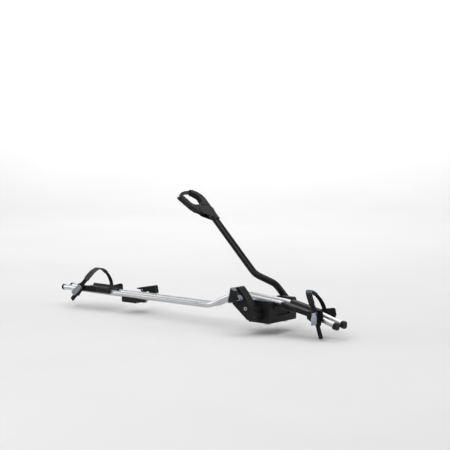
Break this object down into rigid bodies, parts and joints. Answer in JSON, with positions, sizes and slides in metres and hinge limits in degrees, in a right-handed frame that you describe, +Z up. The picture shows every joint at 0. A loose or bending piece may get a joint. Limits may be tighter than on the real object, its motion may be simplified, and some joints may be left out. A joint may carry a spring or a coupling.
{
  "type": "roof mounted bike carrier",
  "caption": "Long silver tubes on black feet with a folding arm, a knob-tightened claw for the bicycle frame, and wheel trays with ladder straps and lever buckles.",
  "frame": {"origin": "underside of the front foot's pad, straight below the arm's hinge axis", "axes": "+X forward along the tubes, +Y away from the knob and buckle side, +Z up"},
  "size_m": [1.4461, 0.2918, 0.5258],
  "materials": {
    "tube_silver": "satin anodised",
    "black_plastic": "fine-grained moulded",
    "dark_grey_plastic": "satin moulded",
    "rubber_black": "matt",
    "zinc_steel": "zinc plated",
    "blue_grey_plastic": "smooth moulded",
    "black_steel": "black oxide screws",
    "slate_rubber": "soft-touch moulded",
    "arm_black": "satin powder coat",
    "lock_chrome": "polished"
  },
  "bodies": {
    "frame": {"rail_near": "tube_silver", "rail_far": "tube_silver", "rail_end_caps_front": "black_plastic", "rail_end_caps_rear": "black_plastic", "foot_base": "black_plastic", "foot_pad": "rubber_black", "hinge_bush_near": "dark_grey_plastic", "hinge_bush_far": "dark_grey_plastic", "foot_slot_bolts": "zinc_steel", "foot_washers": "zinc_steel", "foot_nuts": "zinc_steel", "rail_screws": "zinc_steel", "rear_foot_screws": "zinc_steel", "front_wheel_tray": "black_plastic", "front_strap_bracket": "black_plastic", "front_buckle_base": "black_plastic", "front_buckle_rivets": "zinc_steel", "front_buckle_pin": "zinc_steel", "front_strap": "rubber_black", "front_strap_pad": "slate_rubber", "front_strap_anchor_screw": "zinc_steel", "rear_foot": "black_plastic", "rear_foot_pad": "rubber_black", "rear_slot_bolt": "black_steel", "rear_clamp_washer": "zinc_steel", "rear_lever_pin": "zinc_steel"},
    "arm": {"arm_tube": "arm_black", "tension_cable": "zinc_steel", "housing_shell": "black_plastic", "housing_cover": "black_plastic", "housing_screws": "black_steel", "spindle_bush": "dark_grey_plastic", "lock_body": "black_plastic", "claw_head": "dark_grey_plastic", "claw_cover": "dark_grey_plastic", "claw_cover_screws": "black_steel", "jaw_pivot_pins": "zinc_steel"},
    "knob": {"knob_body": "black_plastic", "knob_pads": "blue_grey_plastic", "knob_spindle": "zinc_steel", "winding_drum": "black_plastic"},
    "lock": {"lock_cylinder": "lock_chrome"},
    "slider": {"jaw_slider": "zinc_steel"},
    "jaw_near": {"jaw_near": "dark_grey_plastic", "jaw_pad_near": "rubber_black"},
    "jaw_far": {"jaw_far": "dark_grey_plastic", "jaw_pad_far": "rubber_black"},
    "rear_holder": {"rear_wheel_tray": "black_plastic", "rear_strap": "rubber_black", "rear_strap_pad": "rubber_black", "rear_buckle_base": "black_plastic", "rear_buckle_rivets": "zinc_steel", "rear_buckle_pin": "zinc_steel", "rear_strap_anchor_screw": "zinc_steel"},
    "front_lever": {"front_buckle_lever": "blue_grey_plastic"},
    "rear_lever": {"rear_buckle_lever": "blue_grey_plastic"},
    "clamp_lever": {"rear_clamp_lever": "black_plastic"}
  },
  "joints": [
    {"name": "arm_fold", "type": "hinge", "parent": "frame", "child": "arm", "pos_m": [0, 0, 0.044], "axis": [0, -1, 0], "range_deg": [-50, 42]},
    {"name": "knob_turn", "type": "hinge", "parent": "arm", "child": "knob", "pos_m": [-0.067, -0.13, 0.102], "axis": [0, -1, 0], "range_deg": [-450, 1800]},
    {"name": "slider_shift", "type": "slide", "parent": "arm", "child": "slider", "axis": [-0.7169, 0, 0.6972], "range_m": [-0.0018, 0.0063]},
    {"name": "jaw_near_swing", "type": "hinge", "parent": "arm", "child": "jaw_near", "pos_m": [-0.3537, 0.006, 0.4032], "axis": [-0.6972, 0, -0.7169], "range_deg": [-32.5, 8.5]},
    {"name": "jaw_far_swing", "type": "hinge", "parent": "arm", "child": "jaw_far", "pos_m": [-0.3537, 0.04, 0.4032], "axis": [-0.6972, 0, -0.7169], "range_deg": [-8.5, 32.5]},
    {"name": "lock_turn", "type": "hinge", "parent": "arm", "child": "lock", "pos_m": [-0.0263, -0.125, 0.0566], "axis": [0, -1, 0], "range_deg": [0, 90]},
    {"name": "rear_tray_slide", "type": "slide", "parent": "frame", "child": "rear_holder", "axis": [1, 0, 0], "range_m": [-0.1, 0.05]},
    {"name": "front_buckle_lift", "type": "hinge", "parent": "frame", "child": "front_lever", "pos_m": [0.24308, -0.0562, 0.05542], "axis": [-0.9656, 0, -0.2601], "range_deg": [-20, 85]},
    {"name": "rear_buckle_lift", "type": "hinge", "parent": "rear_holder", "child": "rear_lever", "pos_m": [-0.98446, -0.0562, 0.04734], "axis": [-0.7848, 0, 0.6198], "range_deg": [-20, 85]},
    {"name": "rear_clamp_lift", "type": "hinge", "parent": "frame", "child": "clamp_lever", "pos_m": [-0.722, 0.06, 0.046], "axis": [0, -1, 0], "range_deg": [0, 45]}
  ],
  "couplings": [
    {"joint": "slider_shift", "follows": "knob_turn", "m_per_rad": 0.00019099},
    {"joint": "jaw_near_swing", "follows": "knob_turn", "ratio": -0.017778},
    {"joint": "jaw_far_swing", "follows": "knob_turn", "ratio": 0.017778}
  ]
}
